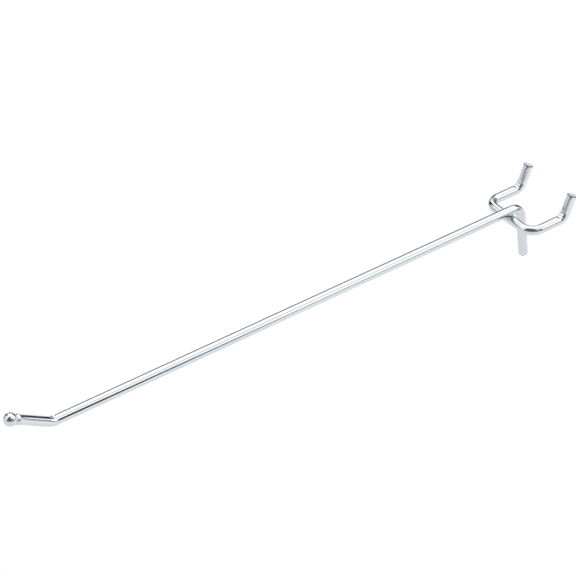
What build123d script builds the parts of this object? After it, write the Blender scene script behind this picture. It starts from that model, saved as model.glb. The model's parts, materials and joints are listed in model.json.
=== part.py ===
from build123d import *
from math import cos, radians, sin, sqrt
import os

# Single pegboard hook: a long arm wire welded across a bent prong wire.
# Millimetres and degrees. The origin is on the front face of the board, midway between the
# two prongs and at the height of their axes. +X is sideways, +Y goes into the board, +Z is up.

# Wire stock
arm_wire_d = 3.76
prong_wire_d = 3.76

# Prong wire: a cross bar with a prong at each end, which goes through the board and turns up
hole_spacing = 25.4  # between the axes of the two prongs
prong_length = 16.6  # from the axis of the cross bar to the corner where a prong turns up
prong_tip_length = 10.2  # from that corner to the cut end
prong_tip_lean = 21.3  # of the upturned tip, from upright, away from the board
bar_bend_r = 5.0  # bend radii are those of the wire's centre line
prong_bend_r = 4.0

# Arm wire: a leg that stands against the board, the arm, and the upturned tip with its ball
leg_length = 23.9  # from the cut foot to the corner where the leg meets the arm
leg_lean = 7.8  # from upright, with the foot towards the board
leg_gap = 5.4  # from the axis of the cross bar back to that corner
arm_length = 208.7  # from the axis of the cross bar to the corner where the tip turns up
tip_length = 18.8  # from that corner to beside the centre of the ball
tip_angle = 30.4
leg_bend_r = 5.0
tip_bend_r = 7.5

# Mark of the forming pin in the inside of every bend but the one under the arm
pin_r = 2.0
pin_mark = 0.3  # how far the pin has pressed into the wire

# Ball upset on the end of the arm, with the groove and the collar that the die leaves behind it
ball_d = 5.05
ball_drop = 0.2  # of its centre below the axis of the tip
groove_depth = 0.2  # below the surface of the wire
collar_height = 0.2  # above the surface of the wire
collar_r = 0.4
collar_rise = 1.0  # along the wire, from the bottom of the groove to the top of the collar
collar_fall = 1.5  # from there to where the wire has its own size again

# Resistance weld where the arm lies across the bar
weld_sink = 0.56  # how far the two wires are pressed into each other
weld_bulge_d = 2.8  # of the metal squeezed out between them

# Rounded edge of the cut ends
end_r = 0.3

# Places that follow from the sizes
arm_r = arm_wire_d / 2
prong_r = prong_wire_d / 2
lean = radians(leg_lean)
leg_direction = Vector(0, sin(lean), -cos(lean))
tip_direction = Vector(0, -cos(radians(tip_angle)), sin(radians(tip_angle)))
tip_upwards = Vector(0, sin(radians(tip_angle)), cos(radians(tip_angle)))
prong_tip_direction = Vector(0, sin(radians(prong_tip_lean)), cos(radians(prong_tip_lean)))

# The rounded edge of the foot touches the board, and that sets how far the bar stands off.
foot_y = end_r * sin(lean) - (arm_r - end_r) * cos(lean) - end_r
leg_top_y = foot_y - leg_length * sin(lean)
bar_y = leg_top_y - leg_gap
arm_z = prong_r + arm_r - weld_sink

leg_top = Vector(0, leg_top_y, arm_z)
foot = leg_top + leg_direction * leg_length
tip_corner = Vector(0, bar_y - arm_length, arm_z)
tip_end = tip_corner + tip_direction * tip_length

# Behind the ball, distances from its centre along the wire
ball_r = ball_d / 2
neck_r = arm_r - groove_depth
groove_x = sqrt(ball_r**2 - neck_r**2)
collar_x = groove_x + collar_rise
wire_x = collar_x + collar_fall
wire_end = tip_end - tip_direction * wire_x

weld_centre = Vector(0, bar_y, (prong_r + arm_z - arm_r) / 2)

os.makedirs("parts", exist_ok=True)


def prong_points(side):
    """The cut end, the corner and the bar's corner of the prong on one side, -1 or 1."""
    bar_corner = Vector(side * hole_spacing / 2, bar_y, 0)
    prong_corner = bar_corner + Vector(0, prong_length, 0)
    return [prong_corner + prong_tip_direction * prong_tip_length, prong_corner, bar_corner]


def forming_pin(before, corner, after, bend_r, wire_r):
    """The plane across the axis of the pin that pressed into the inside of a bend, at its middle."""
    into = (corner - before).normalized()
    out = (after - corner).normalized()
    half_turn = radians(into.get_angle(out)) / 2
    inside = bend_r / cos(half_turn) - (bend_r - wire_r)
    centre = corner + (out - into).normalized() * (inside + pin_r - pin_mark)
    return Plane(origin=centre, z_dir=into.cross(out))


# Prong wire
prong_route = [*prong_points(-1), *reversed(prong_points(1))]
prong_bends = [prong_bend_r, bar_bend_r, bar_bend_r, prong_bend_r]
with BuildPart() as prong_wire:
    with BuildLine() as prong_path:
        FilletPolyline(*prong_route, radius=prong_bends)
    with BuildSketch(Plane(origin=prong_path.line @ 0, z_dir=prong_path.line % 0)):
        Circle(prong_r)
    sweep(path=prong_path.line)
    fillet(prong_wire.faces().filter_by(GeomType.PLANE).edges(), end_r)
    for before, corner, after, bend_r in zip(prong_route, prong_route[1:], prong_route[2:], prong_bends):
        with Locations(forming_pin(before, corner, after, bend_r, prong_r)):
            Cylinder(pin_r, prong_wire_d, mode=Mode.SUBTRACT)

prong_wire.part.label = "prong_wire"
export_step(prong_wire.part, "parts/prong_wire.step")

# Arm wire
with BuildPart() as arm_wire:
    with BuildLine() as arm_path:
        FilletPolyline(foot, leg_top, tip_corner, wire_end, radius=[leg_bend_r, tip_bend_r])
    with BuildSketch(Plane(origin=arm_path.line @ 0, z_dir=arm_path.line % 0)):
        Circle(arm_r)
    sweep(path=arm_path.line)
    fillet(arm_wire.faces().filter_by(GeomType.PLANE).sort_by(Axis.Z)[0].edges(), end_r)
    with Locations(forming_pin(leg_top, tip_corner, wire_end, tip_bend_r, arm_r)):
        Cylinder(pin_r, arm_wire_d, mode=Mode.SUBTRACT)

    # Neck and collar, turned about the axis of the tip, with X from the ball to the wire
    with BuildSketch(Plane(origin=tip_end, x_dir=-tip_direction, z_dir=(1, 0, 0))) as neck_half:
        with BuildLine():
            collar_top = (collar_x, arm_r + collar_height)
            Polyline((0, 0), (0, neck_r), (groove_x, neck_r), collar_top, (wire_x, arm_r), (wire_x, 0), close=True)
        make_face()
        fillet(neck_half.vertices().sort_by(Axis.Y)[-1], collar_r)
    revolve(axis=Axis(tip_end, tip_direction))
    with Locations(tip_end - tip_upwards * ball_drop):
        Sphere(ball_r)

    # Weld: the squeezed-out metal, then the seat that the bar has pressed into the arm
    with Locations(weld_centre):
        Sphere(weld_bulge_d / 2)
    add(prong_wire.part, mode=Mode.SUBTRACT)

arm_wire.part.label = "arm_wire"
export_step(arm_wire.part, "parts/arm_wire.step")
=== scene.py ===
import json
from math import asin, cos, pi, radians, sin, tan
from typing import NamedTuple

import bmesh
import bpy
from bpy.props import FloatProperty, FloatVectorProperty, IntProperty, PointerProperty, StringProperty
from mathutils import Matrix, Vector, noise


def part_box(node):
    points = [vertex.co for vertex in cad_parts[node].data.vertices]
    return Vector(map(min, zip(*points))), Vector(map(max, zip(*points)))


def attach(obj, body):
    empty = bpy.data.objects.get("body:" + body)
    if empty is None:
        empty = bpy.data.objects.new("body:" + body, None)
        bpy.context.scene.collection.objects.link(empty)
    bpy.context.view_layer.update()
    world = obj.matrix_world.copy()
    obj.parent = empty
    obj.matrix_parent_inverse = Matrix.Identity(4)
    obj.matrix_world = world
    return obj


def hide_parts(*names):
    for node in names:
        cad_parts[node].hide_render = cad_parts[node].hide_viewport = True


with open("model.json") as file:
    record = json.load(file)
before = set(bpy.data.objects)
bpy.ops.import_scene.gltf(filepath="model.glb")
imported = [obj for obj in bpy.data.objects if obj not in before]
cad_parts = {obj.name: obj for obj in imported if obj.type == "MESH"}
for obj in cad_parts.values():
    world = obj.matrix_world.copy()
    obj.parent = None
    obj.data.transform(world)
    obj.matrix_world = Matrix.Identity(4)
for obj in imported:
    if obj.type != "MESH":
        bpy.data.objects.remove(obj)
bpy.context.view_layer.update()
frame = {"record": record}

bl_info = {
    "name": "Single pegboard hook",
    "version": (1, 0, 0),
    "blender": (4, 5, 0),
    "location": "View3D > Sidebar > Hook",
    "description": "A long wire hook for pegboard, bent, welded and zinc plated, and its stage",
    "category": "Object",
}

MM = 0.001
PRONG_MOUNT = frame["record"]["mounts"][0]["dims"]
ARM_MOUNT = frame["record"]["mounts"][1]["dims"]

# Directions in a straight blank, which lies along Z before it is bent
ALONG = Vector((0, 0, 1))
UPWARDS = Vector((0, 1, 0))
TO_BOARD = Vector((1, 0, 0))  # in the blank of the prong wire only

# How a blank's X, Y and Z lie in the frame: the bar runs along X, and the arm along -Y
BAR_AXES = Matrix(((0, 0, 1), (1, 0, 0), (0, 1, 0)))
ARM_AXES = Matrix(((1, 0, 0), (0, 0, -1), (0, 1, 0)))

# Vertices this close, in metres, are one. Those of one ring agree to this many decimal places.
MERGE = 1e-6
RING_PLACES = 8

# How far a pin's mark can reach past the ends of a prong's bend
PIN_REACH = 1.0 * MM

# Rings of faces in the runs of a blank that aren't bent
END_RINGS = 3  # across a cut end, from its middle to its edge
STRAIGHT_RINGS = 4  # in a short straight run
ARM_RINGS = 40
PIN_RINGS = 6  # in the reach of a pin
COLLAR_FALL_RINGS = 4
COLLAR_RISE_RINGS = 2

# Edges sharper than this aren't shaded smooth
SHARP_ANGLE = radians(35)

# Sockets of a Mix node, by their numbers, because some of them share a name
MIX_FACTOR = 0
MIX_VALUE_A = 2
MIX_VALUE_B = 3
MIX_COLOUR_A = 6
MIX_COLOUR_B = 7
MIX_COLOUR_RESULT = 2

# Nearly all values of a noise texture lie between these
NOISE_LOW = 0.3
NOISE_HIGH = 0.7


def length(name, description, millimetres):
    """A size that a user can change, in metres, with its default in millimetres."""
    return FloatProperty(
        name=name,
        description=description,
        default=millimetres * MM,
        min=0,
        precision=5,
        subtype="DISTANCE",
        unit="LENGTH",
    )


def position(name, description, millimetres):
    """A place that a user can change, in metres, with its default in millimetres."""
    return FloatVectorProperty(
        name=name,
        description=description,
        default=[value * MM for value in millimetres],
        precision=5,
        subtype="XYZ",
        unit="LENGTH",
    )


def angle(name, description, degrees):
    """An angle that a user can change, with its default in degrees."""
    return FloatProperty(
        name=name,
        description=description,
        default=radians(degrees),
        precision=2,
        subtype="ANGLE",
        unit="ROTATION",
    )


def number(name, description, default):
    """A plain number that a user can change."""
    return FloatProperty(name=name, description=description, default=default, min=0, precision=3)


def colour(name, description, default):
    """A colour that a user can change, as an sRGB hex value."""
    return StringProperty(name=name, description=description, default=default, maxlen=7)


def linear(hex_colour):
    """An sRGB hex value as linear red, green, blue and alpha."""
    channels = [int(hex_colour[i : i + 2], 16) / 255 for i in (1, 3, 5)]
    return [c / 12.92 if c <= 0.04045 else ((c + 0.055) / 1.055) ** 2.4 for c in channels] + [1]


class HookSizes(bpy.types.PropertyGroup):
    """The sizes of the two wires. Bend radii are those of the wire's centre line."""

    arm_wire_d: length("Arm wire", "Diameter of the arm's wire", 2 * ARM_MOUNT["r_mm"])
    prong_wire_d: length("Prong wire", "Diameter of the prongs' wire", 2 * PRONG_MOUNT["stud_r_mm"])
    hole_spacing: length("Hole spacing", "Between the axes of the prongs", PRONG_MOUNT["spacing_x_mm"])
    prong_length: length("Prong length", "From the bar's axis to the corner where a prong turns up", 16.6)
    prong_tip_length: length("Prong tip length", "From that corner to the cut end", 10.2)
    prong_tip_lean: angle("Prong tip lean", "Of the upturned tip, from upright", 21.3)
    bar_bend_r: length("Bar bend", "Radius of the bar's two corners", 5.0)
    prong_bend_r: length("Prong bend", "Radius of the bend where a prong turns up", 4.0)
    leg_length: length("Leg length", "From the cut foot to the corner where the leg meets the arm", 23.9)
    leg_lean: angle("Leg lean", "From upright, with the foot towards the board", 7.8)
    leg_gap: length("Leg gap", "From the bar's axis back to the leg's corner", 5.4)
    leg_bend_r: length("Leg bend", "Radius of the bend between leg and arm", 5.0)
    arm_length: length("Arm length", "From the bar's axis to the corner where the tip turns up", 208.7)
    tip_length: length("Tip length", "From that corner to beside the centre of the ball", 18.8)
    tip_angle: angle("Tip angle", "How far the tip turns up", 30.4)
    tip_bend_r: length("Tip bend", "Radius of the bend where the tip turns up", 7.5)
    pin_r: length("Pin radius", "Of the forming pin that has marked the inside of a bend", 2.0)
    pin_mark: length("Pin mark", "How far that pin has pressed into the wire", 0.3)
    ball_d: length("Ball", "Diameter of the ball upset on the arm's end", 5.05)
    ball_drop: length("Ball drop", "Of its centre below the axis of the tip", 0.2)
    groove_depth: length("Groove depth", "Of the groove behind the ball, below the wire's surface", 0.2)
    groove_round: length("Groove rounding", "Width of the rounding at the bottom of the groove", 0.08)
    collar_height: length("Collar height", "Of the ridge behind the groove, above the wire's surface", 0.2)
    collar_round: length("Collar rounding", "Width of the rounding at the top of the ridge", 0.25)
    collar_rise: length("Collar rise", "Along the wire, from the groove to the top of the ridge", 1.0)
    collar_fall: length("Collar fall", "From there to where the wire has its own size again", 1.5)
    weld_sink: length("Weld sink", "How far the two wires are pressed into each other", 0.56)
    weld_bulge_d: length("Weld bulge", "Diameter of the metal squeezed out between the wires", 2.8)
    weld_grain: length("Weld grain", "Width of the bumps in that metal", 0.8)
    weld_bumps: number("Weld bumps", "Height of those bumps, as a share of the bulge's radius", 0.05)
    end_r: length("End rounding", "Radius of the rounded edge of the cut ends", 0.3)
    sides: IntProperty(name="Sides", description="Faces round a wire", default=96, min=12)
    bend_steps: IntProperty(name="Bend steps", description="Rings in each bend", default=30, min=4)


class PlatedFinish(bpy.types.PropertyGroup):
    """The zinc plate on both wires."""

    plate: colour("Plate", "Bright zinc plate", "#D0D5D9")
    plate_dull: colour("Dull plate", "Plate where it is thinner or slightly stained", "#C8CDD2")
    roughness: number("Roughness", "Of the plate on the drawn wire", 0.11)
    roughness_spread: number("Roughness spread", "How much the draw lines change it", 0.02)
    draw_line: length("Draw line", "Spacing of the lines that the drawing die leaves along the wire", 0.35)
    draw_line_run: length("Draw line run", "Length over which such a line fades", 30)
    draw_line_depth: length("Draw line depth", "Depth of those lines", 0.0008)
    wave_width: length("Wave width", "Of the slow waves left by straightening, across the wire", 3.5)
    wave_run: length("Wave run", "Length of those waves along the wire", 14)
    wave_depth: length("Wave depth", "Depth of those waves", 0.005)
    cut_end: colour("Cut end", "Plate over a sheared end", "#E2E4E6")
    # A dark grey laid all round the rounded edge of every cut end, which draws that edge as a dark line
    torn_edge: colour("Torn edge", "Thin, stained plate over the edge of a sheared end", "#74787C")
    torn_roughness: number("Torn roughness", "Of the plate over sheared steel", 0.75)
    torn_grain: length("Torn grain", "Width of the grain of sheared steel", 0.5)
    torn_depth: length("Torn depth", "Depth of that grain", 0.02)


class StudioSettings(bpy.types.PropertyGroup):
    """The camera, the floor and the light."""

    camera_azimuth: angle("Azimuth", "Of the camera, from looking along +Y towards looking along -X", 53.134)
    camera_elevation: angle("Elevation", "Of the camera above the level", 37.324)
    camera_distance: length("Distance", "From the camera to its aim", 989.05)
    camera_aim: position("Aim", "Where the camera looks", (-6.28, -111.98, 8.73))
    camera_lens: FloatProperty(
        name="Lens", description="Focal length in millimetres", default=168.75, subtype="DISTANCE_CAMERA"
    )
    camera_sensor: FloatProperty(
        name="Sensor", description="Width in millimetres", default=36, subtype="DISTANCE_CAMERA"
    )
    floor_drop: length("Floor drop", "How far the floor lies below the prongs", 350)
    floor_radius: length("Floor radius", "Of the round floor", 6700)
    floor_paper: colour("Floor", "White studio paper", "#FEFEFE")
    lamp_place: position("Lamp", "Centre of the lamp over the floor", (757, 228, -100))
    lamp_d: length("Lamp size", "Diameter of that lamp", 600)
    lamp_power: FloatProperty(name="Lamp power", description="Of that lamp", default=0.6, min=0, unit="POWER")
    tent: number("Tent", "Brightness of the white tent overhead", 1.35)
    horizon: number("Horizon", "Brightness of the band between the floor and the tent", 0.80)
    tent_edge_low: angle("Tent's edge, low", "Elevation at which the tent begins", -1)
    tent_edge_high: angle("Tent's edge, high", "Elevation at which it has its full brightness", 17)


class TentPanel(NamedTuple):
    """A patch of the tent with soft edges. Its angles are in degrees, as seen from the hook."""

    azimuth: float  # of its middle, from +X towards +Y
    half_width: float
    low: float  # elevations of its lower and its upper side
    high: float
    edge: float  # over which it fades into what lies behind it
    brightness: float


# Laid over the tent in this order
PANELS = {
    "main light, above and behind": TentPanel(143, 55, 41, 90, 8, 1.90),
    "card, behind to the right": TentPanel(49, 27, 16, 42, 12, 1.75),
    "seam between card and main light": TentPanel(48, 2, 48, 61, 13, 0.90),
    "room seen past the camera": TentPanel(-38, 46, -6, 42, 7, 0.40),
    "camera and its stand": TentPanel(-48, 39, 11, 75, 3, 0.15),
    "dark gap beside the card": TentPanel(21, 5.5, -6, 37, 3, 0.0),
    "dark gap below the card": TentPanel(50, 19, 8, 10, 6, 0.13),
    "grey wall, behind": TentPanel(126, 12, -5, 36, 6, 0.42),
    "dark gap, behind": TentPanel(111, 12, -3, 18, 3, 0.0),
    "dark curtain, behind": TentPanel(97, 12, -3, 33, 4, 0.14),
    "dark gap, behind to the left": TentPanel(151, 6, -3, 28, 3, 0.0),
    "low wall, to the left": TentPanel(196, 35, 6, 16, 3, 0.18),
    "dark gap, to the left": TentPanel(190, 8, -1, 49, 8, 0.0),
}


def add_node(tree, kind, inputs=None, **settings):
    """Adds a node with its settings, and sets or links its inputs."""
    node = tree.nodes.new(kind)
    for name, value in settings.items():
        setattr(node, name, value)
    for socket, value in (inputs or {}).items():
        if isinstance(value, bpy.types.NodeSocket):
            tree.links.new(value, node.inputs[socket])
        else:
            node.inputs[socket].default_value = value
    return node


def new_material(name):
    """An empty node material and its tree."""
    material = bpy.data.materials.new(name)
    material.use_nodes = True
    material.node_tree.nodes.clear()
    return material, material.node_tree


def per(size):
    """How many of a size, in metres, there are in one metre."""
    return 1 / size


def bright_zinc_on_drawn_wire(finish):
    """Bright zinc electroplate on cold-drawn steel wire.

    It mirrors the room a little softly and a little blue. The drawing die leaves fine lines along the
    wire, which the thin plate keeps, and straightening leaves slow waves that bend the reflections.
    The lines are drawn wider than the real ones, which are about 0.05 mm, so that they show.
    """
    material, tree = new_material("bright_zinc_on_drawn_wire")
    straight = add_node(tree, "ShaderNodeAttribute", attribute_name="straight").outputs["Vector"]
    line_scale = (per(finish.draw_line), per(finish.draw_line), per(finish.draw_line_run))
    line_place = add_node(tree, "ShaderNodeMapping", {"Vector": straight, "Scale": line_scale}).outputs[0]
    lines = add_node(tree, "ShaderNodeTexNoise", {"Vector": line_place, "Scale": 1.0, "Detail": 2.0})
    wave_scale = (per(finish.wave_width), per(finish.wave_width), per(finish.wave_run))
    wave_place = add_node(tree, "ShaderNodeMapping", {"Vector": straight, "Scale": wave_scale}).outputs[0]
    waves = add_node(tree, "ShaderNodeTexNoise", {"Vector": wave_place, "Scale": 1.0, "Detail": 1.0})
    roughness = add_node(
        tree,
        "ShaderNodeMapRange",
        {
            "Value": lines.outputs["Fac"],
            "From Min": NOISE_LOW,
            "From Max": NOISE_HIGH,
            "To Min": finish.roughness - finish.roughness_spread,
            "To Max": finish.roughness + finish.roughness_spread,
        },
    )
    tone = add_node(
        tree,
        "ShaderNodeMix",
        {
            MIX_FACTOR: waves.outputs["Fac"],
            MIX_COLOUR_A: linear(finish.plate),
            MIX_COLOUR_B: linear(finish.plate_dull),
        },
        data_type="RGBA",
    )
    wavy = add_node(
        tree,
        "ShaderNodeBump",
        {"Strength": 1.0, "Distance": finish.wave_depth, "Height": waves.outputs["Fac"]},
    )
    lined = add_node(
        tree,
        "ShaderNodeBump",
        {
            "Strength": 1.0,
            "Distance": finish.draw_line_depth,
            "Height": lines.outputs["Fac"],
            "Normal": wavy.outputs[0],
        },
    )
    shader = add_node(
        tree,
        "ShaderNodeBsdfPrincipled",
        {
            "Base Color": tone.outputs[MIX_COLOUR_RESULT],
            "Metallic": 1.0,
            "Roughness": roughness.outputs[0],
            "Normal": lined.outputs[0],
        },
    )
    add_node(tree, "ShaderNodeOutputMaterial", {"Surface": shader.outputs[0]})
    return material


def zinc_on_sheared_steel(name, plate, finish):
    """Zinc electroplate over sheared steel, whose torn grain scatters what the drawn side mirrors."""
    material, tree = new_material(name)
    place = add_node(tree, "ShaderNodeTexCoord").outputs["Object"]
    grain_scale = per(finish.torn_grain)
    grain = add_node(tree, "ShaderNodeTexNoise", {"Vector": place, "Scale": grain_scale, "Detail": 3.0})
    torn = add_node(
        tree,
        "ShaderNodeBump",
        {"Strength": 1.0, "Distance": finish.torn_depth, "Height": grain.outputs["Fac"]},
    )
    shader = add_node(
        tree,
        "ShaderNodeBsdfPrincipled",
        {
            "Base Color": linear(plate),
            "Metallic": 1.0,
            "Roughness": finish.torn_roughness,
            "Normal": torn.outputs[0],
        },
    )
    add_node(tree, "ShaderNodeOutputMaterial", {"Surface": shader.outputs[0]})
    return material


def zinc_on_cut_end(finish):
    """Zinc electroplate over the flat of a sheared wire end: an even, pale grey."""
    return zinc_on_sheared_steel("zinc_on_cut_end", finish.cut_end, finish)


def zinc_on_torn_edge(finish):
    """Zinc electroplate over the rounded edge of a sheared end, coloured dark grey all round it: a dark line.
    """
    return zinc_on_sheared_steel("zinc_on_torn_edge", finish.torn_edge, finish)


def finish_material(make, finish):
    """The material that a function makes, made once and shared."""
    return bpy.data.materials.get(make.__name__) or make(finish)


# Finishes of a wire, in the order of its material slots
WIRE_FINISHES = (bright_zinc_on_drawn_wire, zinc_on_cut_end, zinc_on_torn_edge)


class Bend(NamedTuple):
    """One bend of a wire, as a wire former makes it in the straight blank."""

    side: int  # of the weld, -1 or 1
    start: float  # station where it begins, from the weld
    turn: float
    radius: float
    towards: Vector  # where its inside lies

    @property
    def axis(self):
        """The direction about which it turns."""
        return (ALONG * self.side).cross(self.towards)

    @property
    def centre(self):
        """The point about which it turns."""
        return ALONG * self.side * self.start + self.towards * self.radius


def tangent_length(radius, turn):
    """From the corner of a bend to where its arc begins."""
    return radius * tan(turn / 2)


def draw_outline(bm, corners, rings):
    """Draws the half outline of a rod through (radius, station) corners, and returns its points there.

    A run between two corners is divided into as many rings as given for it.
    """
    point = bm.verts.new((corners[0][0], 0, corners[0][1]))
    points = [point]
    for start, end, count in zip(corners, corners[1:], rings):
        step = Vector((end[0] - start[0], 0, end[1] - start[1])) / count
        for _ in range(count):
            point = bmesh.ops.extrude_vert_indiv(bm, verts=[point])["verts"][0]
            bmesh.ops.translate(bm, verts=[point], vec=step)
        points.append(point)
    return points


def round_corners(bm, corners, width):
    """Rounds corners of a half outline."""
    bmesh.ops.bevel(bm, geom=corners, offset=width, segments=4, profile=0.5, affect="VERTICES", material=-1)


def turn_blank(bm, sides):
    """Turns the half outline in a bmesh about Z into a closed rod."""
    bmesh.ops.spin(
        bm,
        geom=bm.verts[:] + bm.edges[:],
        cent=(0, 0, 0),
        axis=ALONG,
        angle=2 * pi,
        steps=sides,
        use_merge=True,
    )
    bmesh.ops.remove_doubles(bm, verts=bm.verts[:], dist=MERGE)
    bmesh.ops.recalc_face_normals(bm, faces=bm.faces[:])


def mark_cut_ends(bm, stations, end_r):
    """Gives the cut ends at these stations, and their rounded edges, finishes of their own."""
    for face in bm.faces:
        depth = min(abs(face.calc_center_median().z - station) for station in stations)
        if depth < MERGE:
            face.material_index = WIRE_FINISHES.index(zinc_on_cut_end)
        elif depth < end_r:
            face.material_index = WIRE_FINISHES.index(zinc_on_torn_edge)


def keep_straight_places(bm):
    """Stores each point's place in the straight blank, so that the draw lines follow the bends."""
    straight = bm.verts.layers.float_vector.new("straight")
    for vert in bm.verts:
        vert[straight] = vert.co
    return straight


def drop_ball(bm, drop, start, end):
    """Lowers what lies past a neck, and shears the neck from its start to its end."""
    shear = Matrix.Identity(4)
    shear[1][2] = -drop / (end - start)
    to_start = Matrix.Translation((0, 0, start))
    neck = [vert for vert in bm.verts if start < vert.co.z < end]
    ball = [vert for vert in bm.verts if vert.co.z >= end]
    bmesh.ops.transform(bm, verts=neck, matrix=to_start @ shear @ to_start.inverted())
    bmesh.ops.translate(bm, verts=ball, vec=-UPWARDS * drop)


def bend_wire(bm, straight, bend):
    """Bends the part of a wire that lies past the start of a bend, ring by ring."""
    rings = {}
    for vert in bm.verts:
        past = bend.side * vert[straight].z - bend.start
        if past > 0:
            rings.setdefault(round(past, RING_PLACES), []).append(vert)
    for past, ring in rings.items():
        turned = min(past / bend.radius, bend.turn)
        bmesh.ops.translate(bm, verts=ring, vec=-ALONG * bend.side * turned * bend.radius)
        bmesh.ops.rotate(bm, verts=ring, cent=bend.centre, matrix=Matrix.Rotation(turned, 3, bend.axis))


def press_pin(bm, sizes, bend, wire_r):
    """Presses a forming pin into the inside of a bend that has just been made, at its middle."""
    axis = bend.axis
    to_middle = Matrix.Rotation(bend.turn / 2, 3, axis) @ -bend.towards
    pin_centre = bend.centre + to_middle * (bend.radius - wire_r - sizes.pin_r + sizes.pin_mark)
    for vert in bm.verts:
        offset = vert.co - pin_centre
        offset -= axis * offset.dot(axis)
        if offset.length < sizes.pin_r:
            vert.co += offset.normalized() * (sizes.pin_r - offset.length)


def bar_place(sizes):
    """The middle of the cross bar, on its axis. The bar is the foremost part of the prong wire."""
    return Vector((0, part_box("prong_wire")[0].y + sizes.prong_wire_d / 2, 0))


def arm_rise(sizes):
    """From the bar's axis up to the arm's."""
    return Vector((0, 0, (sizes.arm_wire_d + sizes.prong_wire_d) / 2 - sizes.weld_sink))


def make_piece(context, bm, name, finishes, replaced=None):
    """Makes an object of a bmesh, smooth apart from its sharp edges, and adds it to the part."""
    mesh = bpy.data.meshes.new(name)
    bm.to_mesh(mesh)
    bm.free()
    for make in finishes:
        mesh.materials.append(finish_material(make, context.scene.hook_finish))
    mesh.shade_smooth()
    mesh.set_sharp_from_angle(angle=SHARP_ANGLE)
    piece = bpy.data.objects.new(name, mesh)
    context.scene.collection.objects.link(piece)
    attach(piece, "root")
    if replaced:
        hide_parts(replaced)


class HOOK_OT_prong_wire(bpy.types.Operator):
    """Make the cross bar with its two prongs from one length of wire"""

    bl_idname = "hook.prong_wire"
    bl_label = "Prong wire"

    def execute(self, context):
        sizes = context.scene.hook_sizes
        radius = sizes.prong_wire_d / 2
        bar_turn = pi / 2
        tip_turn = pi / 2 - sizes.prong_tip_lean
        bar_tangent = tangent_length(sizes.bar_bend_r, bar_turn)
        tip_tangent = tangent_length(sizes.prong_bend_r, tip_turn)

        # Stations along one half of the blank, from the middle of the bar
        bar_bend = sizes.hole_spacing / 2 - bar_tangent
        prong_run = bar_bend + sizes.bar_bend_r * bar_turn
        tip_bend = prong_run + sizes.prong_length - bar_tangent - tip_tangent
        tip_run = tip_bend + sizes.prong_bend_r * tip_turn
        cut = tip_run + sizes.prong_tip_length - tip_tangent

        bm = bmesh.new()
        half = [bar_bend, prong_run, tip_bend - PIN_REACH, tip_bend, tip_run, tip_run + PIN_REACH, cut]
        bar_rings = [sizes.bend_steps, STRAIGHT_RINGS]
        tip_rings = [PIN_RINGS, sizes.bend_steps, PIN_RINGS, STRAIGHT_RINGS]
        half_rings = bar_rings + tip_rings
        corners = [(0, -cut)] + [(radius, -station) for station in reversed(half)]
        corners += [(radius, station) for station in half] + [(0, cut)]
        rings = [END_RINGS, *reversed(half_rings), STRAIGHT_RINGS, *half_rings, END_RINGS]
        points = draw_outline(bm, corners, rings)
        round_corners(bm, [points[1], points[-2]], sizes.end_r)
        turn_blank(bm, sizes.sides)
        mark_cut_ends(bm, (-cut, cut), sizes.end_r)
        straight = keep_straight_places(bm)

        for side in (-1, 1):
            tip = Bend(side, tip_bend, tip_turn, sizes.prong_bend_r, UPWARDS)
            corner = Bend(side, bar_bend, bar_turn, sizes.bar_bend_r, TO_BOARD)
            for bend in (tip, corner):
                bend_wire(bm, straight, bend)
                press_pin(bm, sizes, bend, radius)
        in_frame = Matrix.Translation(bar_place(sizes)) @ BAR_AXES.to_4x4()
        bmesh.ops.transform(bm, matrix=in_frame, verts=bm.verts[:])
        make_piece(context, bm, "prong_wire_plated", WIRE_FINISHES, "prong_wire")
        return {"FINISHED"}


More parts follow.
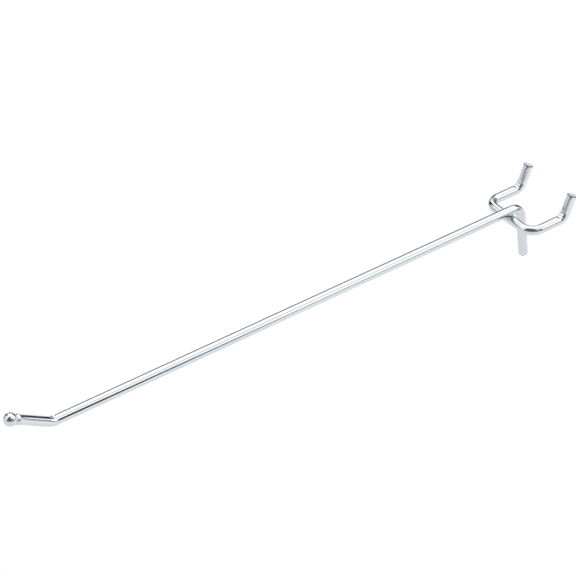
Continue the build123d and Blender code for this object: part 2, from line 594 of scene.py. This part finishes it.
class HOOK_OT_arm_wire(bpy.types.Operator):
    """Make the arm with its leg, its upturned tip and its ball from one length of wire"""

    bl_idname = "hook.arm_wire"
    bl_label = "Arm wire"

    def execute(self, context):
        sizes = context.scene.hook_sizes
        radius = sizes.arm_wire_d / 2
        ball_r = sizes.ball_d / 2
        leg_turn = pi / 2 - sizes.leg_lean
        leg_tangent = tangent_length(sizes.leg_bend_r, leg_turn)
        tip_tangent = tangent_length(sizes.tip_bend_r, sizes.tip_angle)

        # Distances from the weld back to the foot, and stations from the weld forward to the ball
        leg_bend = sizes.leg_gap - leg_tangent
        leg_run = leg_bend + sizes.leg_bend_r * leg_turn
        foot = leg_run + sizes.leg_length - leg_tangent
        tip_bend = sizes.arm_length - tip_tangent
        tip_run = tip_bend + sizes.tip_bend_r * sizes.tip_angle
        ball = tip_run + sizes.tip_length - tip_tangent
        groove_angle = asin((radius - sizes.groove_depth) / ball_r)
        groove = ball - ball_r * cos(groove_angle)
        collar = groove - sizes.collar_rise
        collar_foot = collar - sizes.collar_fall

        bm = bmesh.new()
        stations = [-foot, -leg_run, -leg_bend, tip_bend, tip_run, collar_foot]
        corners = [(0, -foot)] + [(radius, station) for station in stations]
        corners += [(radius + sizes.collar_height, collar), (radius - sizes.groove_depth, groove)]
        rings = [END_RINGS, STRAIGHT_RINGS, sizes.bend_steps, ARM_RINGS, sizes.bend_steps, STRAIGHT_RINGS]
        rings += [COLLAR_FALL_RINGS, COLLAR_RISE_RINGS]
        points = draw_outline(bm, corners, rings)
        bmesh.ops.spin(
            bm,
            geom=[points[-1]],
            cent=(0, 0, ball),
            axis=(0, -1, 0),
            angle=pi - groove_angle,
            steps=sizes.bend_steps,
        )
        round_corners(bm, [points[1]], sizes.end_r)
        round_corners(bm, [points[-2]], sizes.collar_round)
        round_corners(bm, [points[-1]], sizes.groove_round)
        turn_blank(bm, sizes.sides)
        mark_cut_ends(bm, (-foot,), sizes.end_r)
        straight = keep_straight_places(bm)
        drop_ball(bm, sizes.ball_drop, collar, groove)

        leg = Bend(-1, leg_bend, leg_turn, sizes.leg_bend_r, -UPWARDS)
        tip = Bend(1, tip_bend, sizes.tip_angle, sizes.tip_bend_r, UPWARDS)
        bend_wire(bm, straight, leg)
        bend_wire(bm, straight, tip)
        press_pin(bm, sizes, tip, radius)
        in_frame = Matrix.Translation(bar_place(sizes) + arm_rise(sizes)) @ ARM_AXES.to_4x4()
        bmesh.ops.transform(bm, matrix=in_frame, verts=bm.verts[:])
        make_piece(context, bm, "arm_wire_plated", WIRE_FINISHES, "arm_wire")
        return {"FINISHED"}


class HOOK_OT_weld(bpy.types.Operator):
    """Make the metal that the weld has squeezed out between the two wires"""

    bl_idname = "hook.weld"
    bl_label = "Weld"

    def execute(self, context):
        sizes = context.scene.hook_sizes
        bm = bmesh.new()
        bmesh.ops.create_uvsphere(
            bm, u_segments=sizes.sides // 2, v_segments=sizes.sides // 4, radius=sizes.weld_bulge_d / 2
        )
        for vert in bm.verts:
            vert.co *= 1 + sizes.weld_bumps * noise.noise(vert.co / sizes.weld_grain)
        middle = bar_place(sizes) + arm_rise(sizes) / 2
        bmesh.ops.translate(bm, verts=bm.verts[:], vec=middle)
        make_piece(context, bm, "weld_bulge", [zinc_on_cut_end])
        return {"FINISHED"}


class HOOK_OT_stage(bpy.types.Operator):
    """Set up the floor, the light and the camera"""

    bl_idname = "hook.stage"
    bl_label = "Stage"

    def execute(self, context):
        studio = context.scene.hook_studio
        make_floor(context.scene, studio)
        make_world(context.scene, studio)
        make_lamp(context.scene, studio)
        make_camera(context.scene, studio)
        context.scene.view_settings.view_transform = "Standard"
        return {"FINISHED"}


def make_floor(scene, studio):
    """A round sheet of white studio paper, well below the hook, which hangs in the air."""
    material, tree = new_material("white_studio_paper")
    shader = add_node(
        tree,
        "ShaderNodeBsdfPrincipled",
        {"Base Color": linear(studio.floor_paper), "Roughness": 0.9, "Specular IOR Level": 0.0},
    )
    add_node(tree, "ShaderNodeOutputMaterial", {"Surface": shader.outputs[0]})
    bm = bmesh.new()
    bmesh.ops.create_circle(bm, cap_ends=True, segments=96, radius=studio.floor_radius)
    bmesh.ops.translate(bm, verts=bm.verts[:], vec=(0, 0, -studio.floor_drop))
    mesh = bpy.data.meshes.new("studio_floor")
    bm.to_mesh(mesh)
    bm.free()
    mesh.materials.append(material)
    floor = bpy.data.objects.new("studio_floor", mesh)
    scene.collection.objects.link(floor)


def heading(azimuth, elevation=0):
    """The direction at an azimuth from +X towards +Y and an elevation."""
    level = cos(elevation)
    return Vector((cos(azimuth) * level, sin(azimuth) * level, sin(elevation)))


def soft_window(tree, value, middle, half, edge):
    """A mask that is 1 within half of the middle, in degrees, and fades to 0 over its edge."""
    offset = add_node(tree, "ShaderNodeMath", {0: value, 1: radians(middle)}, operation="SUBTRACT")
    distance = add_node(tree, "ShaderNodeMath", {0: offset.outputs[0]}, operation="ABSOLUTE")
    limits = {"From Min": radians(half), "From Max": radians(half + edge), "To Min": 1, "To Max": 0}
    mask = add_node(
        tree, "ShaderNodeMapRange", {"Value": distance.outputs[0], **limits}, interpolation_type="SMOOTHSTEP"
    )
    return mask.outputs[0]


def panel_mask(tree, direction, rise, panel):
    """A mask that is 1 where a direction and its elevation lie within a panel."""
    to_middle = heading(radians(panel.azimuth))
    to_side = heading(radians(panel.azimuth + 90))
    ahead, aside = (
        add_node(tree, "ShaderNodeVectorMath", {0: direction, 1: way}, operation="DOT_PRODUCT")
        for way in (to_middle, to_side)
    )
    reach = {0: aside.outputs["Value"], 1: ahead.outputs["Value"]}
    swing = add_node(tree, "ShaderNodeMath", reach, operation="ARCTAN2").outputs[0]
    across = soft_window(tree, swing, 0, panel.half_width, panel.edge)
    middle = (panel.low + panel.high) / 2
    upward = soft_window(tree, rise, middle, panel.high - middle, panel.edge)
    return add_node(tree, "ShaderNodeMath", {0: across, 1: upward}, operation="MULTIPLY").outputs[0]


def make_world(scene, studio):
    """A white tent round the hook, with the light and dark panels that its wires mirror as lines."""
    world = bpy.data.worlds.new("studio")
    world.use_nodes = True
    scene.world = world
    tree = world.node_tree
    tree.nodes.clear()
    direction = add_node(tree, "ShaderNodeTexCoord").outputs["Generated"]
    height = add_node(tree, "ShaderNodeSeparateXYZ", {"Vector": direction}).outputs["Z"]
    rise = add_node(tree, "ShaderNodeMath", {0: height}, operation="ARCSINE").outputs[0]
    strength = add_node(
        tree,
        "ShaderNodeMapRange",
        {
            "Value": rise,
            "From Min": studio.tent_edge_low,
            "From Max": studio.tent_edge_high,
            "To Min": studio.horizon,
            "To Max": studio.tent,
        },
        interpolation_type="SMOOTHSTEP",
    ).outputs[0]
    for panel in PANELS.values():
        layers = {
            MIX_FACTOR: panel_mask(tree, direction, rise, panel),
            MIX_VALUE_A: strength,
            MIX_VALUE_B: panel.brightness,
        }
        strength = add_node(tree, "ShaderNodeMix", layers).outputs[0]
    light = add_node(tree, "ShaderNodeBackground", {"Color": (1, 1, 1, 1), "Strength": strength})
    add_node(tree, "ShaderNodeOutputWorld", {"Surface": light.outputs[0]})


def make_lamp(scene, studio):
    """A round lamp to the right of the hook and below it, turned down, so that it lights only the paper."""
    data = bpy.data.lights.new("floor_lamp", "AREA")
    data.shape = "DISK"
    data.size = studio.lamp_d
    data.energy = studio.lamp_power
    lamp = bpy.data.objects.new("floor_lamp", data)
    lamp.location = studio.lamp_place
    lamp.visible_camera = False
    lamp.visible_glossy = False
    scene.collection.objects.link(lamp)


def make_camera(scene, studio):
    """A long lens, above the hook and to its right."""
    back = heading(studio.camera_azimuth - pi / 2, studio.camera_elevation)
    data = bpy.data.cameras.new("camera")
    data.sensor_width = studio.camera_sensor
    data.lens = studio.camera_lens
    camera = bpy.data.objects.new("camera", data)
    camera.location = Vector(studio.camera_aim) + back * studio.camera_distance
    camera.rotation_euler = back.to_track_quat("Z", "Y").to_euler()
    scene.collection.objects.link(camera)
    scene.camera = camera


OPERATORS = (HOOK_OT_prong_wire, HOOK_OT_arm_wire, HOOK_OT_weld, HOOK_OT_stage)


class HOOK_PT_panel(bpy.types.Panel):
    """The pieces of the hook, in the order in which they are made"""

    bl_idname = "HOOK_PT_panel"
    bl_label = "Pegboard hook"
    bl_space_type = "VIEW_3D"
    bl_region_type = "UI"
    bl_category = "Hook"

    def draw(self, context):
        for operator in OPERATORS:
            self.layout.operator(operator.bl_idname)


GROUPS = {"hook_sizes": HookSizes, "hook_finish": PlatedFinish, "hook_studio": StudioSettings}


def register():
    for group_name, group in GROUPS.items():
        bpy.utils.register_class(group)
        setattr(bpy.types.Scene, group_name, PointerProperty(type=group))
    for shown in (*OPERATORS, HOOK_PT_panel):
        bpy.utils.register_class(shown)


def unregister():
    for shown in (HOOK_PT_panel, *reversed(OPERATORS)):
        bpy.utils.unregister_class(shown)
    for group_name, group in reversed(GROUPS.items()):
        delattr(bpy.types.Scene, group_name)
        bpy.utils.unregister_class(group)


def main():
    register()
    bpy.ops.hook.prong_wire()
    bpy.ops.hook.arm_wire()
    bpy.ops.hook.weld()
    bpy.ops.hook.stage()


if __name__ == "__main__":
    main()
